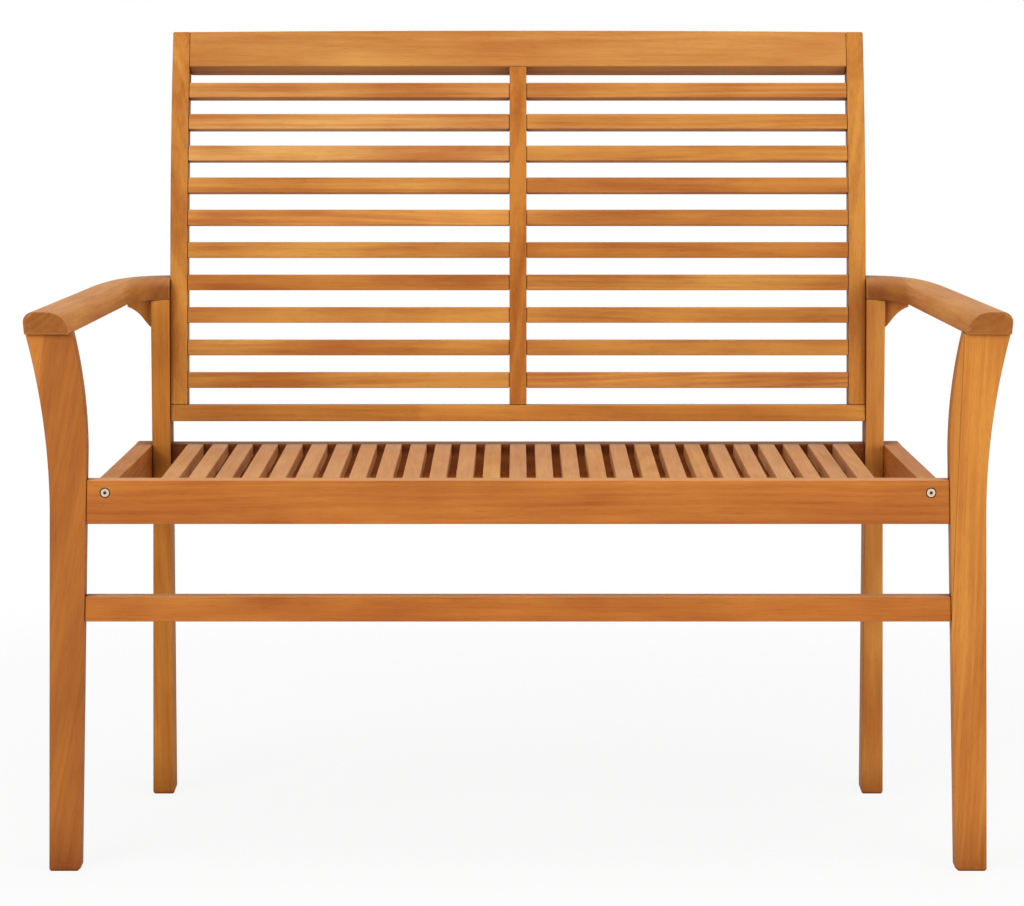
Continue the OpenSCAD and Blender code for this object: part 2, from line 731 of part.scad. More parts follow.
// The two slats of one row of the back, left and right of the middle post
module back_slats_row(row) {
  color("gold") for (name = ["left", "right"]) side(name) union() {
    across_width(middle_w / 2, half_back - stile_w) back_slat_end(row);
    across_width(middle_w / 2 - slat_tenon, half_back - stile_w + slat_tenon)
      back_slat_end(row, tenon_share);
  }
}

module rail_bolts() {
  color("gainsboro") for (name = ["left", "right"]) side(name)
    at_rail_bolt() translate([head_sink, 0, 0]) bolt(bolt_d, rail_bolt_l);
}

// Cross nuts that stand upright in the side rails and take the bolts' ends
module rail_cross_nuts() {
  color("silver") for (name = ["left", "right"]) side(name) difference() {
    translate([rail_bolt_x, nut_y, rail_bolt_z - nut_l / 2]) cylinder(d = nut_d, h = nut_l, $fn = 48);
    translate([rail_bolt_x, nut_y - nut_d, rail_bolt_z]) rotate([-90, 0, 0])
      cylinder(d = bolt_d + joint_gap, h = 2 * nut_d, $fn = 48);
  }
}

module side_rail_screws() {
  color("gainsboro") for (name = ["left", "right"]) side(name)
    at_side_rail_screws() translate([head_sink, 0, 0]) bolt(screw_d, leg_screw_l);
}

module back_screws() {
  color("gainsboro") for (name = ["left", "right"]) side(name)
    at_back_screws() translate([head_sink, 0, 0]) bolt(screw_d, back_screw_l);
}

placed() side("left") front_leg();  // front_leg_left
placed() side("right") front_leg();  // front_leg_right
placed() side("left") rear_leg();  // rear_leg_left
placed() side("right") rear_leg();  // rear_leg_right
placed() side("left") arm();  // arm_left
placed() side("right") arm();  // arm_right
placed() side("left") arm_bracket();  // arm_bracket_left
placed() side("right") arm_bracket();  // arm_bracket_right
placed() seat_front_rail();
placed() side("left") seat_side_rail();  // seat_side_rail_left
placed() side("right") seat_side_rail();  // seat_side_rail_right
placed() seat_rear_rail();
placed() seat_bearer();
placed() front_stretcher();
placed() back_bottom_rail();
placed() side("left") back_stile();  // back_stile_left
placed() side("right") back_stile();  // back_stile_right
placed() back_middle_stile();
placed() back_top_rail();
placed() rail_bolts();
placed() rail_cross_nuts();
placed() side_rail_screws();
placed() back_screws();
for (i = [1:seat_slats])
  placed() seat_slat(i);
for (row = [1:back_slats])
  placed() back_slats_row(row);
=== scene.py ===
# %% [markdown]
# # A teak garden bench
# The bench arrives as a fixed frame of sixty wooden and steel pieces that already fit each
# other. What is left to do here is what a finisher does in the workshop: ease the sharp
# edges, bring out the grain of every board, polish the bolts, and light the bench for its
# picture. All lengths are metres, the front of the bench faces -Y and the feet are at Z = 0.

# %% Load the bench
import math
import random

import bpy
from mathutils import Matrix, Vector


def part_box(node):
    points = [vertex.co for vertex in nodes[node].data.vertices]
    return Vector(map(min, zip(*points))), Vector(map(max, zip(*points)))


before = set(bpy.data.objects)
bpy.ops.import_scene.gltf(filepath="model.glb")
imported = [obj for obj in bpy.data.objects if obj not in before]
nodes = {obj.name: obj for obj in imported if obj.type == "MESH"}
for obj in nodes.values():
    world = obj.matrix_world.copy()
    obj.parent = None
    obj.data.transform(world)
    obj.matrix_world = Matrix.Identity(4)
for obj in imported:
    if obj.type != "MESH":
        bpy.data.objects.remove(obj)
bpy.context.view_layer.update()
print("pieces of the bench:", len(nodes))

# %% [markdown]
# ## The camera
# The picture is taken from in front and a little above, so the seat shows. A wide lens close
# by would make the bench's uprights lean. A long lens five metres away, turned down by only
# six degrees, keeps them almost parallel. The bench would then sit too low in the picture,
# so the lens is shifted a little, as on a view camera, which moves the picture and leaves
# the shapes alone.

# %% Camera
PICTURE_W, PICTURE_H = 1024, 906
SENSOR_WIDTH = 36.0
LENS_PIXELS = 4260.0
LOOK_DOWN = 6.0
PRINCIPAL_X, PRINCIPAL_Y = 518.0, 337.0
CAMERA_PLACE = (0.0, -5.062356, 1.12125)

lens = bpy.data.cameras.new("camera")
lens.sensor_fit = "HORIZONTAL"
lens.sensor_width = SENSOR_WIDTH
lens.lens = LENS_PIXELS * SENSOR_WIDTH / PICTURE_W
lens.shift_x = (PICTURE_W / 2 - PRINCIPAL_X) / PICTURE_W
lens.shift_y = (PRINCIPAL_Y - PICTURE_H / 2) / PICTURE_W
camera = bpy.data.objects.new("camera", lens)
camera.location = CAMERA_PLACE
camera.rotation_euler = (math.radians(90 - LOOK_DOWN), 0, 0)
bpy.context.scene.collection.objects.link(camera)
bpy.context.scene.camera = camera
print("focal length", round(lens.lens, 1), "mm")
print("shift", round(lens.shift_x, 4), round(lens.shift_y, 4))

# %% [markdown]
# ## Small helpers for shader nodes
# Wood needs a few dozen nodes, and spelling out each one would fill pages. A few short
# helpers place a node, wire or set its inputs, do sums and mix colours, so that the cells
# below read like a recipe.

# %% Helpers for nodes


def put(tree, kind, settings=None, inputs=None):
    """Places a node; an input is wired when its value is a socket, and set when it isn't."""
    node = tree.nodes.new(kind)
    for label, value in (settings or {}).items():
        setattr(node, label, value)
    for label, value in (inputs or {}).items():
        if isinstance(value, bpy.types.NodeSocket):
            tree.links.new(value, node.inputs[label])
        else:
            node.inputs[label].default_value = value
    return node


def calc(tree, operation, *values, clamp=False):
    """One sum on numbers; the values are numbers or sockets."""
    settings = {"operation": operation, "use_clamp": clamp}
    return put(tree, "ShaderNodeMath", settings, dict(enumerate(values))).outputs[0]


def on_vectors(tree, operation, *values):
    """One sum on vectors."""
    node = put(tree, "ShaderNodeVectorMath", {"operation": operation}, dict(enumerate(values)))
    return node.outputs["Vector"]


def measure(tree, operation, *values):
    """One number out of vectors, such as their length or their dot product."""
    node = put(tree, "ShaderNodeVectorMath", {"operation": operation}, dict(enumerate(values)))
    return node.outputs["Value"]


def spread(tree, value, low, high, to_low=0.0, to_high=1.0):
    """Stretches the range low..high of a value over to_low..to_high, with soft ends."""
    inputs = {"Value": value, "From Min": low, "From Max": high,
              "To Min": to_low, "To Max": to_high}
    node = put(tree, "ShaderNodeMapRange", {"interpolation_type": "SMOOTHSTEP"}, inputs)
    return node.outputs["Result"]


# A Mix node has sockets for numbers, vectors and colours; these are the places of its colours.
MIX_SHARE, MIX_FIRST, MIX_SECOND, MIX_RESULT = 0, 6, 7, 2


def mix_colour(tree, share, first, second, blend="MIX"):
    """Mixes two colours, or tints the first with the second."""
    node = put(tree, "ShaderNodeMix", {"data_type": "RGBA", "blend_type": blend})
    for place, value in ((MIX_SHARE, share), (MIX_FIRST, first), (MIX_SECOND, second)):
        if isinstance(value, bpy.types.NodeSocket):
            tree.links.new(value, node.inputs[place])
        else:
            node.inputs[place].default_value = value
    return node.outputs[MIX_RESULT]


print("helpers for nodes are ready")

# %% Helpers for groups and colours
COLOUR, NUMBER, ARROW = "NodeSocketColor", "NodeSocketFloat", "NodeSocketVector"
WHITE = (1.0, 1.0, 1.0, 1.0)


def shader_group(name, takes, gives):
    """An empty node group with named inputs and outputs."""
    group = bpy.data.node_groups.new(name, "ShaderNodeTree")
    for label, kind, value in takes:
        socket = group.interface.new_socket(label, in_out="INPUT", socket_type=kind)
        if value is not None:
            socket.default_value = value
    for label, kind in gives:
        group.interface.new_socket(label, in_out="OUTPUT", socket_type=kind)
    start = group.nodes.new("NodeGroupInput")
    end = group.nodes.new("NodeGroupOutput")
    return group, start.outputs, end.inputs


def empty_material(name):
    """A new material without any node, and its node tree."""
    material = bpy.data.materials.new(name)
    material.use_nodes = True
    material.node_tree.nodes.clear()
    return material, material.node_tree


def dress(piece, material):
    """Gives a piece that one material."""
    piece.data.materials.clear()
    piece.data.materials.append(material)


def paint(red, green, blue):
    """A colour as it is read off a paint card, from 0 to 255, in the linear values of the nodes."""
    def linear(part):
        part /= 255
        return part / 12.92 if part <= 0.04045 else ((part + 0.055) / 1.055) ** 2.4
    return (linear(red), linear(green), linear(blue), 1.0)


print("helpers for groups and colours are ready")

# %% [markdown]
# ## Walls
# The bench stands in a studio with pale walls, which brighten its shaded sides. Building the
# walls would only add surfaces to keep clear of the camera, so the world stands for them. It
# lights the wood at a modest level. What the camera sees of it, directly or in a reflection,
# is pure white all the same, and no extra light falls on the wood for that.

# %% Walls
ROOM_LIGHT = 0.34

room = bpy.data.worlds.new("room")
room.use_nodes = True
room.node_tree.nodes.clear()
bpy.context.scene.world = room
bpy.context.scene.view_settings.view_transform = "Standard"


def seen_directly(tree):
    """1 for what the camera sees, also in a reflection, and 0 for light that bounces."""
    path = put(tree, "ShaderNodeLightPath")
    seen = calc(tree, "MAXIMUM", path.outputs["Is Camera Ray"], path.outputs["Is Glossy Ray"])
    return calc(tree, "MAXIMUM", seen, path.outputs["Is Transmission Ray"])


tree = room.node_tree
room_strength = spread(tree, seen_directly(tree), 0.0, 1.0, ROOM_LIGHT, 1.0)
walls = put(tree, "ShaderNodeBackground", None, {"Color": WHITE, "Strength": room_strength})
put(tree, "ShaderNodeOutputWorld", None, {"Surface": walls.outputs[0]})
print("room light", ROOM_LIGHT)

# %% [markdown]
# ## Lamps
# Furniture is lit with soft boxes, lamps behind a wide white cloth, because a bare bulb would
# draw hard shadows of every slat. An area light of the same size does the same. Two boxes
# stand in front, the left one higher and stronger, and one hangs overhead for the seat and
# the tops of the arms.

# %% Lamps
AIM = Vector((0.0, 0.0, 0.45))
SOFT_BOXES = (
    ("front box left", (-2.2, -3.4, 2.3), (2.2, 1.8), 78),
    ("front box right", (2.4, -3.2, 1.1), (2.0, 1.6), 50),
    ("top box", (0.2, -0.4, 3.6), (2.6, 2.0), 52))

for name, place, size, power in SOFT_BOXES:
    lamp = bpy.data.lights.new(name, "AREA")
    lamp.shape = "RECTANGLE"
    lamp.size, lamp.size_y = size
    lamp.energy = power
    holder = bpy.data.objects.new(name, lamp)
    holder.location = place
    holder.rotation_euler = (AIM - Vector(place)).to_track_quat("-Z", "Y").to_euler()
    bpy.context.scene.collection.objects.link(holder)
    print(name, "at", place, "power", power)

# %% [markdown]
# ## Floor
# The floor is pale paint, and close to the bench it keeps the soft shadows of the feet. Plain
# paint would end in a grey horizon, so further out the floor fades into the white of the
# walls: a glow that only the camera sees takes over from the paint.

# %% Floor
FLOOR_REACH = 60.0
FLOOR_PAINT = (0.86, 0.86, 0.86, 1.0)
FADE_START, FADE_END = 0.9, 1.9
FLOOR_LIFT = 0.88

corners = [(-FLOOR_REACH, -FLOOR_REACH, 0), (FLOOR_REACH, -FLOOR_REACH, 0),
           (FLOOR_REACH, FLOOR_REACH, 0), (-FLOOR_REACH, FLOOR_REACH, 0)]
floor_mesh = bpy.data.meshes.new("floor")
floor_mesh.from_pydata(corners, [], [(0, 1, 2, 3)])
floor = bpy.data.objects.new("floor", floor_mesh)
bpy.context.scene.collection.objects.link(floor)

floor_paint, tree = empty_material("floor_paint")
spot = put(tree, "ShaderNodeTexCoord").outputs["Object"]
far = spread(tree, measure(tree, "LENGTH", spot), FADE_START, FADE_END, FLOOR_LIFT, 1.0)
matt = put(tree, "ShaderNodeBsdfDiffuse", None, {"Color": FLOOR_PAINT})
glow = put(tree, "ShaderNodeEmission", None, {"Color": WHITE, "Strength": 1.0})
share = calc(tree, "MULTIPLY", seen_directly(tree), far)
both = put(tree, "ShaderNodeMixShader", None, {0: share, 1: matt.outputs[0], 2: glow.outputs[0]})
put(tree, "ShaderNodeOutputMaterial", None, {"Surface": both.outputs[0]})
dress(floor, floor_paint)
print("floor", 2 * FLOOR_REACH, "m wide")

# %% [markdown]
# ## Eased edges
# No joiner leaves a sharp edge on a bench: a plane or sandpaper takes it off, and each edge
# then shows as a thin bright or dark line. The pieces come with sharp edges, so a Bevel
# modifier rounds them. Left alone it would also cut into drilled holes and curved faces. A
# small geometry-nodes group prepares each piece for it. It joins the points that share a
# place, shades the faces smooth, and gives a bevel weight only to long edges with a real
# angle. A Weighted Normal modifier at the end keeps the flat faces flat.

# %% Eased edges: the marks
SAME_PLACE = 0.00001
SHORT_EDGE = 0.0025
EDGE_ANGLE = math.radians(32)


def preparing_group():
    """Geometry nodes that join loose corners and mark the edges to ease."""
    group = bpy.data.node_groups.new("marked edges", "GeometryNodeTree")
    group.interface.new_socket("Geometry", in_out="INPUT", socket_type="NodeSocketGeometry")
    group.interface.new_socket("Geometry", in_out="OUTPUT", socket_type="NodeSocketGeometry")
    start = group.nodes.new("NodeGroupInput")
    joined = put(group, "GeometryNodeMergeByDistance", None,
                 {"Geometry": start.outputs[0], "Distance": SAME_PLACE})
    smooth = put(group, "GeometryNodeSetShadeSmooth", {"domain": "FACE"},
                 {"Geometry": joined.outputs[0], "Shade Smooth": True})
    ends = put(group, "GeometryNodeInputMeshEdgeVertices")
    gap = on_vectors(group, "SUBTRACT", ends.outputs["Position 1"], ends.outputs["Position 2"])
    length = measure(group, "LENGTH", gap)
    angle = put(group, "GeometryNodeInputMeshEdgeAngle").outputs["Unsigned Angle"]
    long_edge = calc(group, "GREATER_THAN", length, SHORT_EDGE)
    sharp_edge = calc(group, "GREATER_THAN", angle, EDGE_ANGLE)
    weight = calc(group, "MULTIPLY", long_edge, sharp_edge)
    marked = put(group, "GeometryNodeStoreNamedAttribute", {"data_type": "FLOAT", "domain": "EDGE"},
                 {"Geometry": smooth.outputs[0], "Name": "bevel_weight_edge", "Value": weight})
    end = group.nodes.new("NodeGroupOutput")
    group.links.new(marked.outputs[0], end.inputs[0])
    return group


MARKED_EDGES = preparing_group()
print("edges longer than", SHORT_EDGE * 1000, "mm get eased")

# %% Eased edges: the modifiers
EASING_STEPS = 2


def ease_edges(piece, radius):
    """Rounds the long sharp edges of a piece."""
    ready = piece.modifiers.new("marked edges", "NODES")
    ready.node_group = MARKED_EDGES
    bevel = piece.modifiers.new("eased edges", "BEVEL")
    bevel.limit_method = "WEIGHT"
    bevel.width = radius
    bevel.segments = EASING_STEPS
    bevel.use_clamp_overlap = True
    flat = piece.modifiers.new("flat faces", "WEIGHTED_NORMAL")
    flat.keep_sharp = False


print("steps across an eased edge:", EASING_STEPS)

# %% [markdown]
# ## The figure of teak: a place in the log
# Teak is a golden brown wood. Its growth rings show as long wavy bands, its open pores as
# fine dark dashes along the grain, and now and then a dark mineral streak runs through it.
# A printed picture of grain would show seams at the corners of a board. A solid figure
# doesn't: the group below works out the colour of a point from its place inside the log,
# so the side of a rail, its top and its end grain all agree, as on a real board.
#
# Each piece gets its own place in the log ("Board"), the direction of its grain ("Turn")
# and its own pale and dark tones. A piece made of a left and a right half ("Halves") takes
# two boards.

# %% Teak figure: inputs and outputs
teak_figure, wood_in, wood_out = shader_group(
    "teak figure",
    [("Centre", ARROW, None), ("Turn", ARROW, None), ("Board", ARROW, None),
     ("Pale", COLOUR, WHITE), ("Dark", COLOUR, WHITE),
     ("Pale Right", COLOUR, WHITE), ("Dark Right", COLOUR, WHITE),
     ("Halves", NUMBER, 0.0), ("Rings", NUMBER, 150.0), ("Wander", NUMBER, 0.02),
     ("Contrast", NUMBER, 1.0), ("Painted Top Light", NUMBER, 0.3), ("Heart Way", ARROW, None),
     ("Heart Start", NUMBER, 0.0), ("Heart", NUMBER, 0.0), ("Heart Line", NUMBER, 0.0)],
    [("Color", COLOUR), ("Roughness", NUMBER), ("Height", NUMBER)])
print("teak figure takes", len(wood_in) - 1, "inputs")

# %% Teak figure: place in the log
OTHER_BOARD = (1.7, 0.043, 0.029)


def turn_into_log(arrow):
    """The same place or direction, seen along the grain of the log."""
    inputs = {"Vector": arrow, "Rotation": wood_in["Turn"]}
    node = put(teak_figure, "ShaderNodeVectorRotate", {"rotation_type": "EULER_XYZ"}, inputs)
    return node.outputs[0]


tree = teak_figure
place = put(tree, "ShaderNodeTexCoord").outputs["Object"]
sideways = put(tree, "ShaderNodeSeparateXYZ", None, {0: place}).outputs["X"]
right_half = calc(tree, "MULTIPLY", calc(tree, "GREATER_THAN", sideways, 0.0), wood_in["Halves"])
half_arrow = put(tree, "ShaderNodeCombineXYZ", None, {0: right_half, 1: right_half, 2: right_half})
other = on_vectors(tree, "MULTIPLY", half_arrow.outputs[0], OTHER_BOARD)
turned = turn_into_log(on_vectors(tree, "SUBTRACT", place, wood_in["Centre"]))
in_log = on_vectors(tree, "ADD", on_vectors(tree, "ADD", turned, wood_in["Board"]), other)
print("nodes for the place in the log:", len(tree.nodes))

# %% [markdown]
# ## The figure of teak: rings, fibres and pores
# Growth rings are shells around the pith, so their number is the distance from the pith, bent
# a little. The rest of the figure is noise that is stretched along the grain: fibres, soft
# clouds, pores, mineral streaks and patches that glow. One noise could only do for one size
# of mark. Each noise here counts its own waves per metre along the grain and across it.

# %% Teak figure: rings, fibres and pores
WANDER_WAVES = (1.5, 9.0)
FIBRE_WAVES = (7.0, 260.0)
CLOUD_WAVES = (5.5, 19.0)
PORE_WAVES, PORE_RANGE = (48.0, 1500.0), (0.58, 0.70)
STREAK_WAVES, STREAK_RANGE = (2.2, 80.0), (0.62, 0.76)
GLOW_WAVES, GLOW_RANGE = (3.0, 14.0), (0.35, 0.70)
RING_RANGE = (0.28, 0.72)
RING_SHARPNESS = 5.0


def grain_noise(waves, detail, roughness=0.5):
    """Noise that is stretched along the grain."""
    along, across = waves
    scaled = on_vectors(teak_figure, "MULTIPLY", in_log, (along, across, across))
    inputs = {"Vector": scaled, "Scale": 1.0, "Detail": detail, "Roughness": roughness}
    return put(teak_figure, "ShaderNodeTexNoise", None, inputs).outputs[0]


def centred(value):
    """Moves a value from 0..1 to -0.5..0.5."""
    return calc(teak_figure, "SUBTRACT", value, 0.5)


bends = centred(grain_noise(WANDER_WAVES, detail=2.0))
wander = calc(tree, "MULTIPLY", bends, wood_in["Wander"])
from_pith = measure(tree, "LENGTH", on_vectors(tree, "MULTIPLY", in_log, (0.0, 1.0, 1.0)))
ring_count = calc(tree, "MULTIPLY", calc(tree, "ADD", from_pith, wander), wood_in["Rings"])
ring_tone = put(tree, "ShaderNodeTexNoise", {"noise_dimensions": "1D"},
                {"W": ring_count, "Scale": 1.0, "Detail": 1.5, "Roughness": 0.55}).outputs[0]
ring_tone = spread(tree, ring_tone, *RING_RANGE)
ring_line = calc(tree, "POWER", calc(tree, "FRACT", ring_count), RING_SHARPNESS)
fibre = grain_noise(FIBRE_WAVES, detail=3.0, roughness=0.6)
cloud = grain_noise(CLOUD_WAVES, detail=2.5)
pores = spread(tree, grain_noise(PORE_WAVES, detail=1.0), *PORE_RANGE)
streak = spread(tree, grain_noise(STREAK_WAVES, detail=2.0), *STREAK_RANGE)
glow_patch = spread(tree, grain_noise(GLOW_WAVES, detail=1.0), *GLOW_RANGE)
print("pores across one centimetre:", round(PORE_WAVES[1] / 100))

# %% [markdown]
# ## The figure of teak: tones
# Pale early wood and dark late wood are two colours of one board. The marks of the step
# before add up to one number, the tone, which mixes the two. Painting each mark in a colour
# of its own would look like stripes. Only the glow, the streaks and the pores tint the
# result a little.

# %% Teak figure: tones
MIDDLE_TONE = 0.45
RING_SHARE, RING_LINE_SHARE = 0.30, 0.10
FIBRE_SHARE, CLOUD_SHARE = 0.70, 1.9
MARK_STRENGTH = 0.30
GLOW_TINT = (1.0, 0.91, 0.72, 1.0)
STREAK_TINT = (0.66, 0.53, 0.40, 1.0)
PORE_TINT = (0.60, 0.47, 0.34, 1.0)

tone = calc(tree, "MULTIPLY", centred(ring_tone), RING_SHARE)
tone = calc(tree, "MULTIPLY_ADD", centred(fibre), FIBRE_SHARE, tone)
tone = calc(tree, "MULTIPLY_ADD", centred(cloud), CLOUD_SHARE, tone)
tone = calc(tree, "MULTIPLY_ADD", ring_line, RING_LINE_SHARE, tone)
tone = calc(tree, "MULTIPLY_ADD", tone, wood_in["Contrast"], MIDDLE_TONE, clamp=True)
pale = mix_colour(tree, right_half, wood_in["Pale"], wood_in["Pale Right"])
dark = mix_colour(tree, right_half, wood_in["Dark"], wood_in["Dark Right"])
wood = mix_colour(tree, tone, pale, dark)
for mark, tint in ((glow_patch, GLOW_TINT), (streak, STREAK_TINT), (pores, PORE_TINT)):
    wood = mix_colour(tree, calc(tree, "MULTIPLY", mark, MARK_STRENGTH), wood, tint, "MULTIPLY")
print("nodes up to the tones:", len(tree.nodes))

# %% [markdown]
# ## The figure of teak: heartwood
# Some boards hold darker heartwood at one end or along one side. A second material with a
# straight seam would look glued on, so the border is part of the figure, and the fibres make
# it ragged. "Heart Way" is the direction that leads into the heartwood, one unit long for
# each width of the border, "Heart Start" says where the border lies, and "Heart Line" draws
# the border itself, as where two boards are glued.

# %% Teak figure: heartwood
HEART_TINT = (0.50, 0.36, 0.27, 1.0)
HEART_RAGGED = 1.2
GLUE_TINT = (0.55, 0.40, 0.28, 1.0)
# The rim is the heartwood times what is left of it, which is a quarter at most.
RIM_GAIN = 4.0

into_heart = measure(tree, "DOT_PRODUCT", place, wood_in["Heart Way"])
into_heart = calc(tree, "SUBTRACT", into_heart, wood_in["Heart Start"])
border = calc(tree, "MULTIPLY_ADD", centred(fibre), HEART_RAGGED, into_heart)
heart = spread(tree, border, -0.5, 0.5)
darker = calc(tree, "MULTIPLY", heart, wood_in["Heart"])
wood = mix_colour(tree, darker, wood, HEART_TINT, "MULTIPLY")
left_over = calc(tree, "SUBTRACT", 1.0, heart)
rim = calc(tree, "MULTIPLY", calc(tree, "MULTIPLY", heart, left_over), RIM_GAIN)
glue_line = calc(tree, "MULTIPLY", rim, wood_in["Heart Line"])
wood = mix_colour(tree, glue_line, wood, GLUE_TINT, "MULTIPLY")
print("nodes up to the heartwood:", len(tree.nodes))

# %% [markdown]
# ## The figure of teak: end grain and painted top light
# Where a surface cuts across the grain, the open ends of the fibres drink more oil and turn
# darker. Painting the ends of each board by hand would take long, and they would be missed
# in a mortise. The group turns the surface's own direction into the log instead, and finds
# every end by itself. Faces that look up are made paler, a painted top light and sheen, by
# as much as the input for it says.

# %% Teak figure: end grain and painted top light
END_GRAIN_TINT = (0.58, 0.46, 0.34, 1.0)
END_GRAIN_RANGE = (0.30, 0.85)
END_GRAIN_DARKNESS = 0.85
# The paler colour of up-facing faces is painted top light and sheen.
PAINTED_TOP_LIGHT = paint(216, 162, 110)
UPWARD_RANGE = (0.55, 0.97)

facing = put(tree, "ShaderNodeTexCoord").outputs["Normal"]
endwise = put(tree, "ShaderNodeSeparateXYZ", None, {0: turn_into_log(facing)}).outputs["X"]
end_grain = spread(tree, calc(tree, "ABSOLUTE", endwise), *END_GRAIN_RANGE)
soaked = calc(tree, "MULTIPLY", end_grain, END_GRAIN_DARKNESS)
wood = mix_colour(tree, soaked, wood, END_GRAIN_TINT, "MULTIPLY")
# Painted top light and sheen: faces that look up are mixed towards a paler colour.
upward = put(tree, "ShaderNodeSeparateXYZ", None, {0: facing}).outputs["Z"]
upward = spread(tree, upward, *UPWARD_RANGE)
wood = mix_colour(tree, calc(tree, "MULTIPLY", upward, wood_in["Painted Top Light"]), wood, PAINTED_TOP_LIGHT)
tree.links.new(wood, wood_out["Color"])
print("nodes up to the end grain:", len(tree.nodes))

# %% [markdown]
# ## The figure of teak: sheen and relief
# Oiled teak is satin, and never evenly so: the pale wood shines a little, while the dark
# fibres, the pores and the end grain stay dull. Sanding leaves the fibres a little proud
# and the pores open. One roughness all over would look like plastic, so roughness and
# height come from the same marks as the colour.

# %% Teak figure: sheen and relief
WOOD_ROUGHNESS, FIBRE_ROUGHNESS = 0.56, 0.30
DULL_PORES, DULL_ENDS = 0.12, 0.12
FIBRE_HEIGHT, PORE_DEPTH, RING_DEPTH = 0.8, 0.7, 0.25

rough = calc(tree, "MULTIPLY_ADD", centred(fibre), FIBRE_ROUGHNESS, WOOD_ROUGHNESS)
rough = calc(tree, "MULTIPLY_ADD", pores, DULL_PORES, rough)
rough = calc(tree, "MULTIPLY_ADD", end_grain, DULL_ENDS, rough)
tree.links.new(rough, wood_out["Roughness"])
height = calc(tree, "MULTIPLY_ADD", pores, -PORE_DEPTH, calc(tree, "MULTIPLY", fibre, FIBRE_HEIGHT))
height = calc(tree, "MULTIPLY_ADD", ring_tone, -RING_DEPTH, height)
tree.links.new(height, wood_out["Height"])
print("teak figure:", len(tree.nodes), "nodes")

# %% [markdown]
# ## Handled edges, dusty corners and painted shade
# Hands and sandpaper lighten the eased edges of a bench. Its joints and inner corners are
# made darker, for a little dust and oil and as painted shade where less light reaches. Such
# marks could be painted on each piece. Here both masks come from the shape: the Bevel node
# tells how far the surface turns close by, and the Ambient Occlusion node how closed in a
# point is. A wider look around finds the narrow gaps between slats and the wells beside the
# seat, and darkens them to a deep red as painted shade. The group mixes all three into the
# colour it is given.

# %% Handled edges, dust and painted shade
EDGE_REACH, EDGE_RANGE = 0.0022, (0.01, 0.20)
CORNER_REACH, CORNER_RANGE = 0.012, (0.30, 0.95)
GAP_SHADE_REACH, GAP_SHADE_RANGE = 0.15, (0.25, 0.65)
WORN_WOOD = (0.86, 0.60, 0.32, 1.0)
# The dust tint darkens corners as dust and painted shade, and the gap tint paints the shade in
# narrow gaps and wells.
DUST_AND_SHADE_TINT = (0.34, 0.22, 0.15, 1.0)
PAINTED_GAP_SHADE = (0.34, 0.15, 0.05, 1.0)
BEVEL_SAMPLES, SKY_SAMPLES = 4, 8


def closed_in(tree, reach, low, high):
    """1 where the surface is closed in by others within that reach, 0 where it is open."""
    sky = put(tree, "ShaderNodeAmbientOcclusion", {"samples": SKY_SAMPLES}, {"Distance": reach})
    return spread(tree, calc(tree, "SUBTRACT", 1.0, sky.outputs["AO"]), low, high)


edges_dust_and_shade, edges_in, edges_out = shader_group(
    "edges, dust and painted shade",
    [("Color", COLOUR, WHITE), ("Wear", NUMBER, 0.3), ("Dust And Shade", NUMBER, 0.5),
     ("Depth", NUMBER, 0.5)],
    [("Color", COLOUR)])
tree = edges_dust_and_shade
rounded = put(tree, "ShaderNodeBevel", {"samples": BEVEL_SAMPLES}, {"Radius": EDGE_REACH})
straight = put(tree, "ShaderNodeNewGeometry").outputs["Normal"]
agree = measure(tree, "DOT_PRODUCT", rounded.outputs[0], straight)
edge = spread(tree, calc(tree, "SUBTRACT", 1.0, agree), *EDGE_RANGE)
rubbed = calc(tree, "MULTIPLY", edge, edges_in["Wear"])
worn = mix_colour(tree, rubbed, edges_in["Color"], WORN_WOOD)
# Corner darkening: dust in the joints and painted shade in inner corners.
dust_and_shade = calc(tree, "MULTIPLY", closed_in(tree, CORNER_REACH, *CORNER_RANGE), edges_in["Dust And Shade"])
dusted_and_shaded = mix_colour(tree, dust_and_shade, worn, DUST_AND_SHADE_TINT, "MULTIPLY")
# Painted shade: narrow gaps and wells are darkened to a deep red.
depth = calc(tree, "MULTIPLY", closed_in(tree, GAP_SHADE_REACH, *GAP_SHADE_RANGE), edges_in["Depth"])
gap_shaded = mix_colour(tree, depth, dusted_and_shaded, PAINTED_GAP_SHADE, "MULTIPLY")
tree.links.new(gap_shaded, edges_out["Color"])
print("edges, dust and painted shade:", len(tree.nodes), "nodes")

# %% [markdown]
# ## Tones of the boards
# The boards of one bench never match. Next to pale honey coloured ones there are golden,
# amber and russet ones. One colour for all would look like a toy, and a random one for each
# would hide how the joiner sorted them. So a tone is chosen for each piece by name. It is a
# pair: the pale early wood and the dark late wood of the same board.

# %% Tones
TONES = {
    "sand": (paint(208, 150, 98), paint(186, 124, 74)),
    "tan": (paint(200, 144, 96), paint(176, 116, 70)),
    "honey": (paint(212, 156, 86), paint(178, 110, 54)),
    "straw": (paint(218, 152, 74), paint(179, 108, 50)),
    "apricot": (paint(211, 146, 65), paint(176, 104, 42)),
    "oat": (paint(207, 149, 80), paint(175, 106, 50)),
    "golden": (paint(206, 145, 69), paint(173, 104, 43)),
    "wheat": (paint(203, 143, 74), paint(171, 103, 46)),
    "amber": (paint(203, 139, 64), paint(166, 98, 42)),
    "orange": (paint(206, 136, 57), paint(171, 97, 37)),
    "cinnamon": (paint(196, 132, 62), paint(164, 94, 39)),
    "chestnut": (paint(206, 133, 58), paint(165, 93, 40)),
    "copper": (paint(193, 125, 54), paint(159, 88, 35)),
    "cider": (paint(193, 119, 49), paint(159, 84, 32)),
    "russet": (paint(182, 112, 51), paint(145, 77, 34)),
}
print("tones:", ", ".join(TONES))

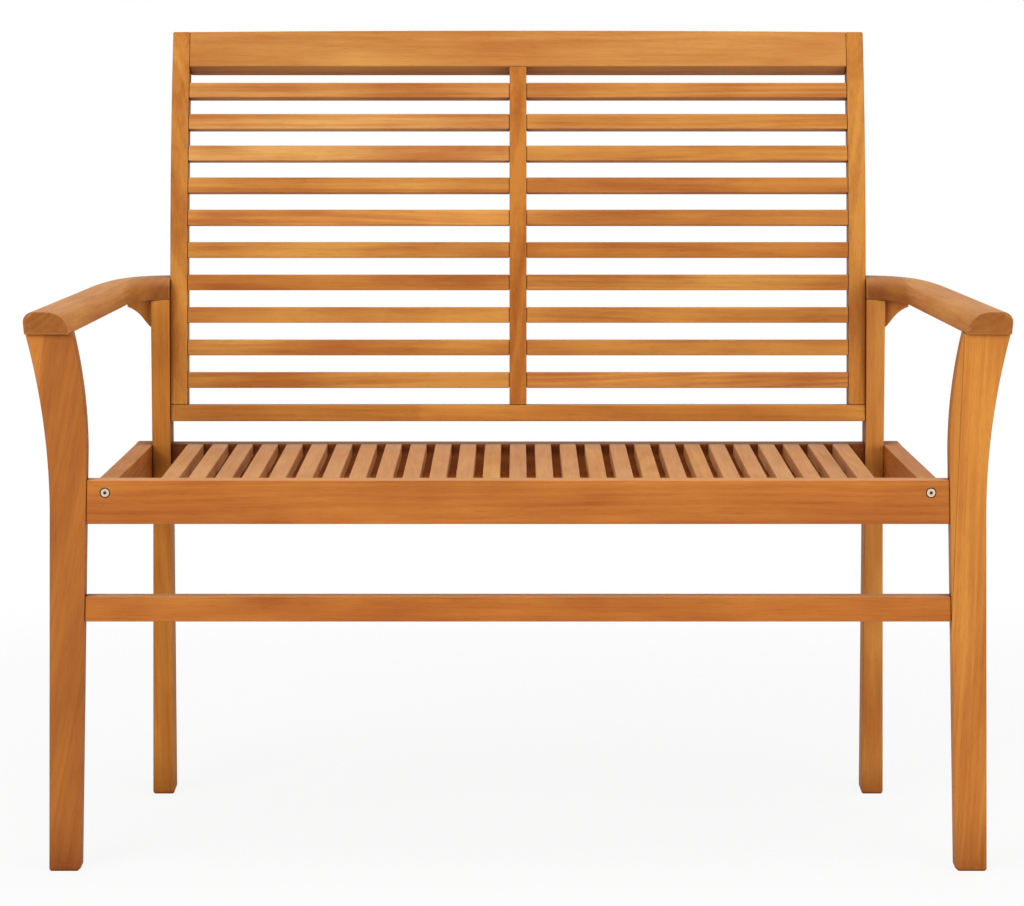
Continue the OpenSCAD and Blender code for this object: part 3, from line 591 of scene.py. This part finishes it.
# %% [markdown]
# ## Sawing the boards
# Every piece is its own board, cut from its own place in the log, so no two show the same
# figure. Its grain follows its length, but never exactly, so it leans by a degree or so. The
# dice below choose the place and the lean, and always fall the same way.

# %% Boards
ALONG_X = (0.0, 0.0, 0.0)
ALONG_Y = (0.0, 0.0, math.radians(-90))
ALONG_Z = (0.0, math.radians(90), 0.0)
TILT = math.radians(1.3)
LOG_LENGTH = 9
NEAR_PITH, FAR_FROM_PITH = 0.035, 0.11
SEED = 27
dice = random.Random(SEED)


def lay_board(axis, lean):
    """A grain direction that is a little off the axis, and a place in the log, for a board."""
    turn = [a + dice.uniform(-TILT, TILT) for a in axis]
    turn[1] += math.radians(lean)
    angle = dice.uniform(0, 2 * math.pi)
    depth = dice.uniform(NEAR_PITH, FAR_FROM_PITH)
    place = (dice.uniform(0, LOG_LENGTH), depth * math.cos(angle), depth * math.sin(angle))
    return tuple(turn), place


def heart_border(width, into, through=(0.0, 0.0, 0.0)):
    """The border of the heartwood: its width, the way into the heartwood, a point on it."""
    way = tuple(part / width for part in into)
    return {"heart_way": way, "heart_start": sum(a * b for a, b in zip(way, through))}


print("a board lies", NEAR_PITH, "to", FAR_FROM_PITH, "m from the pith")

# %% [markdown]
# ## Dressing a piece in teak
# One material for the whole bench would give all boards one tone. Each piece has a material
# of its own, but they all share the two groups, so a better figure is drawn once and reaches
# every board. The shader itself stays in the material, where its gloss is set.

# %% Teak
WEAR = 0.25
RELIEF = 0.0004


# Besides its figure, a piece takes painted light and shade: a paler top as painted top light and
# sheen, darker narrow gaps as painted shade, and darker corners as dust and painted shade.
def teak(name, axis, tone, tone_right=None, rings=150.0, wander=0.03, contrast=1.0, lean=0.0,
         dust_and_shade=0.55, depth=0.8, painted_top_light=0.3, bump=0.30, gloss=0.14, heart=0.0, heart_line=0.0,
         heart_way=(0.0, 0.0, 0.0), heart_start=0.0):
    """Dresses one piece in teak whose grain runs along the axis, or leans by some degrees."""
    piece = nodes[name]
    low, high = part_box(name)
    turn, board = lay_board(axis, lean)
    pale, dark = TONES[tone]
    pale_right, dark_right = TONES[tone_right or tone]
    material, tree = empty_material("teak_" + name)
    figure = put(tree, "ShaderNodeGroup", {"node_tree": teak_figure}, {
        "Centre": (low + high) / 2, "Turn": turn, "Board": board, "Pale": pale, "Dark": dark,
        "Pale Right": pale_right, "Dark Right": dark_right, "Halves": 1.0 if tone_right else 0.0,
        "Rings": rings, "Wander": wander, "Contrast": contrast, "Painted Top Light": painted_top_light,
        "Heart Way": heart_way, "Heart Start": heart_start,
        "Heart": heart, "Heart Line": heart_line})
    edges = put(tree, "ShaderNodeGroup", {"node_tree": edges_dust_and_shade},
                {"Color": figure.outputs["Color"], "Wear": WEAR, "Dust And Shade": dust_and_shade, "Depth": depth})
    bumps = put(tree, "ShaderNodeBump", None,
                {"Height": figure.outputs["Height"], "Strength": bump, "Distance": RELIEF})
    wood = put(tree, "ShaderNodeBsdfPrincipled", None, {
        "Base Color": edges.outputs["Color"], "Roughness": figure.outputs["Roughness"],
        "Normal": bumps.outputs[0], "Specular IOR Level": gloss})
    put(tree, "ShaderNodeOutputMaterial", None, {"Surface": wood.outputs[0]})
    dress(piece, material)
    return piece


print("relief of the grain:", RELIEF * 1000, "mm")

# %% [markdown]
# ## Front legs
# The front legs are sawn from wide planks: they taper to the floor and sweep outwards under
# the arms. Bending the figure along the sweep would be wrong, because a sawn leg keeps the
# grain of its plank, which stays upright. The left leg came from a browner board than the
# right one. Its grain leans, and a wedge of pale sapwood shows at its top. The right one is
# glued from two boards, and a fine line runs down its inner side.

# %% Front legs
LEG_EDGE = 0.0016
LEFT_LEAN, RIGHT_LEAN = -11.0, -1.9
WEDGE_X, WEDGE_SLOPE, WEDGE_BORDER = -0.5749, 0.06, 0.008
GLUE_LINE_X, GLUE_LINE_WIDTH = 0.4854, 0.0016

wedge = heart_border(WEDGE_BORDER, (1.0, 0.0, -WEDGE_SLOPE), (WEDGE_X, 0.0, 0.0))
ease_edges(teak("front_leg_left", ALONG_Z, "chestnut", rings=28.0, wander=0.09, contrast=0.9,
                lean=LEFT_LEAN, heart=0.5, **wedge), LEG_EDGE)
glue_slope = math.tan(math.radians(-RIGHT_LEAN))
seam = heart_border(GLUE_LINE_WIDTH, (-1.0, 0.0, glue_slope), (GLUE_LINE_X, 0.0, 0.0))
ease_edges(teak("front_leg_right", ALONG_Z, "orange", rings=110.0, wander=0.05, lean=RIGHT_LEAN,
                heart=0.20, heart_line=0.9, **seam), LEG_EDGE)
print("front legs dressed")

# %% [markdown]
# ## Rear legs
# The rear legs are planks on edge, which lean back above the seat. They change their tone
# near the seat: the left one has its heartwood below, and the right one above. Their inner
# corners get more of the corner darkening than the rest, dust and painted shade both.

# %% Rear legs
REAR_LEG_EDGE = 0.0014
SEAT_Z, SEAT_BORDER = 0.45, 0.08

# The rear legs take more corner darkening: dust and painted shade.
for name, tone, way in (("rear_leg_left", "apricot", -1.0), ("rear_leg_right", "straw", 1.0)):
    change = heart_border(SEAT_BORDER, (0.0, 0.0, way), (0.0, 0.0, SEAT_Z))
    ease_edges(teak(name, ALONG_Z, tone, gloss=0.05, dust_and_shade=0.8, heart=0.24, **change), REAR_LEG_EDGE)
print("rear legs dressed")

# %% [markdown]
# ## Arms and brackets
# An arm is one wide board, so its grain runs straight from the front to the elbow while its
# edges curve. Its rear end, behind the elbow, holds darker heartwood. Hands polish an arm,
# so its relief is flatter than that of the rails. The small bracket under the elbow is a
# plain offcut with little figure.

# %% Arms and brackets
ARM_EDGE, BRACKET_EDGE = 0.0015, 0.0010
ARM_TURN = math.radians(8)
ELBOW_X, ELBOW_BORDER = 0.474, 0.016

for name, way in (("arm_left", 1.0), ("arm_right", -1.0)):
    along_arm = (0.0, 0.0, math.radians(-90) + way * ARM_TURN)
    elbow = heart_border(ELBOW_BORDER, (way, 0.0, 0.0), (-way * ELBOW_X, 0.0, 0.0))
    ease_edges(teak(name, along_arm, "wheat", rings=95.0, wander=0.06, painted_top_light=0.2, bump=0.08,
                    heart=0.62, heart_line=0.2, **elbow), ARM_EDGE)
for name, tone, depth in (("arm_bracket_left", "apricot", 0.0),
                          ("arm_bracket_right", "chestnut", 0.3)):
    ease_edges(teak(name, ALONG_Z, tone, contrast=0.6, depth=depth), BRACKET_EDGE)
print("arms dressed")

# %% [markdown]
# ## Seat frame
# The rails are long straight boards. Their tops are made paler, as painted top light. The rear
# rail has a dark band on its front face, painted shade that makes the gaps between the slats
# look deep. A darker board would do that too, but then its back would look wrong from behind.
# The side rails take a darker tone and the strongest gap shade, painted shade for the wells
# beside the seat. The bearer below the slats is seen only in the shade under them, so it takes
# a dark tone as painted shade, no painted top light and no gloss.

# %% Seat frame
RAIL_EDGE = 0.0013
FACE_BORDER = 0.006

for name in ("seat_front_rail", "front_stretcher"):
    ease_edges(teak(name, ALONG_X, "cider", painted_top_light=0.7, depth=1.0), RAIL_EDGE)
low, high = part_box("seat_rear_rail")
# Painted shade: a dark band on the rear rail's front face, seen through the gaps between the slats.
shaded_front_face = heart_border(FACE_BORDER, (0.0, -1.0, 0.0), (0.0, (low.y + high.y) / 2, 0.0))
ease_edges(teak("seat_rear_rail", ALONG_X, "chestnut", painted_top_light=0.7, depth=0.7, heart=0.9,
                **shaded_front_face), RAIL_EDGE)
# Painted shade: the side rails' darker tone and strongest gap shade darken the wells beside the
# seat.
for name, painted_top_light in (("seat_side_rail_left", 0.35), ("seat_side_rail_right", 0.45)):
    ease_edges(teak(name, ALONG_Y, "cider", painted_top_light=painted_top_light, depth=1.0, gloss=0.04), RAIL_EDGE)
# Painted shade: the bearer's dark tone, as it is seen only under the slats.
ease_edges(teak("seat_bearer", ALONG_X, "russet", painted_top_light=0.0, depth=0.6, gloss=0.0), RAIL_EDGE)
print("seat frame dressed")

# %% [markdown]
# ## Seat slats
# The slats run from front to back, side by side from many boards, so each one has its own
# figure and now and then another tone. Their tones are paler than those of the rest.
# Choosing a tone for each by hand would change little in so even a row, so the dice choose.

# %% Seat slats
SEAT_SLAT_EDGE = 0.0013
SEAT_TONES = ("sand", "sand", "sand", "tan", "honey")

slat_names = sorted((n for n in nodes if n.startswith("seat_slat_")),
                    key=lambda n: int(n.split("_")[-1]))
for name in slat_names:
    slat = teak(name, ALONG_Y, dice.choice(SEAT_TONES), contrast=1.1, depth=0.05)
    ease_edges(slat, SEAT_SLAT_EDGE)
print("seat slats:", len(slat_names))

# %% [markdown]
# ## Back frame
# The posts of the back are sawn to its curve, and wide rings cross them in bold bands. The
# bottom rail holds heartwood at its left end. The top rail, the widest board and the first
# that meets the eye, is chosen for its calm figure, and it darkens slowly toward its left
# end.

# %% Back frame
BACK_FRAME_EDGE, TOP_RAIL_EDGE = 0.0012, 0.0014
HEART_END_X, HEART_END_BORDER = -0.125, 0.02
SLOW_FADE = 0.6

for name, tone in (("back_stile_left", "amber"), ("back_stile_right", "amber"),
                   ("back_middle_stile", "copper")):
    post = teak(name, ALONG_Z, tone, rings=70.0, wander=0.08, contrast=1.4, gloss=0.05)
    ease_edges(post, BACK_FRAME_EDGE)
heart_end = heart_border(HEART_END_BORDER, (-1.0, 0.0, 0.0), (HEART_END_X, 0.0, 0.0))
ease_edges(teak("back_bottom_rail", ALONG_X, "apricot", heart=0.26, heart_line=0.15, **heart_end),
           BACK_FRAME_EDGE)
ease_edges(teak("back_top_rail", ALONG_X, "oat", rings=90.0, wander=0.06, contrast=0.7, depth=0.3,
                gloss=0.05, heart=0.16, **heart_border(SLOW_FADE, (-1.0, 0.0, 0.0))), TOP_RAIL_EDGE)
print("back frame dressed")

# %% [markdown]
# ## Back slats
# The slats between the posts are short straight pieces. Those on the left and on the right
# of the middle post come from different boards, and a row holds one of each. Their tones
# were noted row by row from the lowest one up, because this is where the eye compares them.

# %% Back slats
BACK_SLAT_EDGE = 0.0013
ROW_TONES = (("golden", "straw"), ("golden", "amber"), ("golden", "amber"), ("copper", "golden"),
             ("golden", "copper"), ("straw", "amber"), ("golden", "copper"), ("honey", "golden"),
             ("honey", "cinnamon"), ("wheat", "cinnamon"))

for row, (left, right) in enumerate(ROW_TONES, 1):
    slats = teak(f"back_slats_row_{row}", ALONG_X, left, right, contrast=1.5, dust_and_shade=0.4)
    ease_edges(slats, BACK_SLAT_EDGE)
print("rows of back slats:", len(ROW_TONES))

# %% [markdown]
# ## Bolts and screws
# Two socket-head bolts show in the front rail, and wood screws hold the back and the side
# rails. They are plated steel, turned on a lathe and a little uneven in their shine. Their
# sockets and recesses are darkened as painted shade. A dark disc in each socket would do
# from afar. The mask that finds closed-in corners does it for all of them at once.

# %% Steel
FASTENERS = ("rail_bolts", "rail_cross_nuts", "side_rail_screws", "back_screws")
HAZE_WAVES, HAZE_RANGE = 900.0, (0.3, 0.7)
SHINY, DULL = 0.22, 0.42
STEEL_SHADE, STEEL_LIGHT = paint(192, 174, 150), paint(228, 212, 188)
SOCKET_REACH, SOCKET_RANGE = 0.005, (0.10, 0.40)
SOCKET_SHADE = paint(70, 48, 30)
HAZE_BUMP, HAZE_DEPTH = 0.2, 0.0001

plated_steel, tree = empty_material("plated_steel")
place = put(tree, "ShaderNodeTexCoord").outputs["Object"]
haze = put(tree, "ShaderNodeTexNoise", None,
           {"Vector": place, "Scale": HAZE_WAVES, "Detail": 3.0}).outputs[0]
shine = spread(tree, haze, *HAZE_RANGE, SHINY, DULL)
plating = mix_colour(tree, haze, STEEL_SHADE, STEEL_LIGHT)
# Painted shade: sockets and recesses are mixed towards a dark brown.
socket_shaded = mix_colour(tree, closed_in(tree, SOCKET_REACH, *SOCKET_RANGE), plating, SOCKET_SHADE)
fine = put(tree, "ShaderNodeBump", None,
           {"Height": haze, "Strength": HAZE_BUMP, "Distance": HAZE_DEPTH})
steel = put(tree, "ShaderNodeBsdfPrincipled", None,
            {"Base Color": socket_shaded, "Metallic": 1.0, "Roughness": shine, "Normal": fine.outputs[0]})
put(tree, "ShaderNodeOutputMaterial", None, {"Surface": steel.outputs[0]})
for name in FASTENERS:
    dress(nodes[name], plated_steel)
print("steel pieces:", len(FASTENERS))
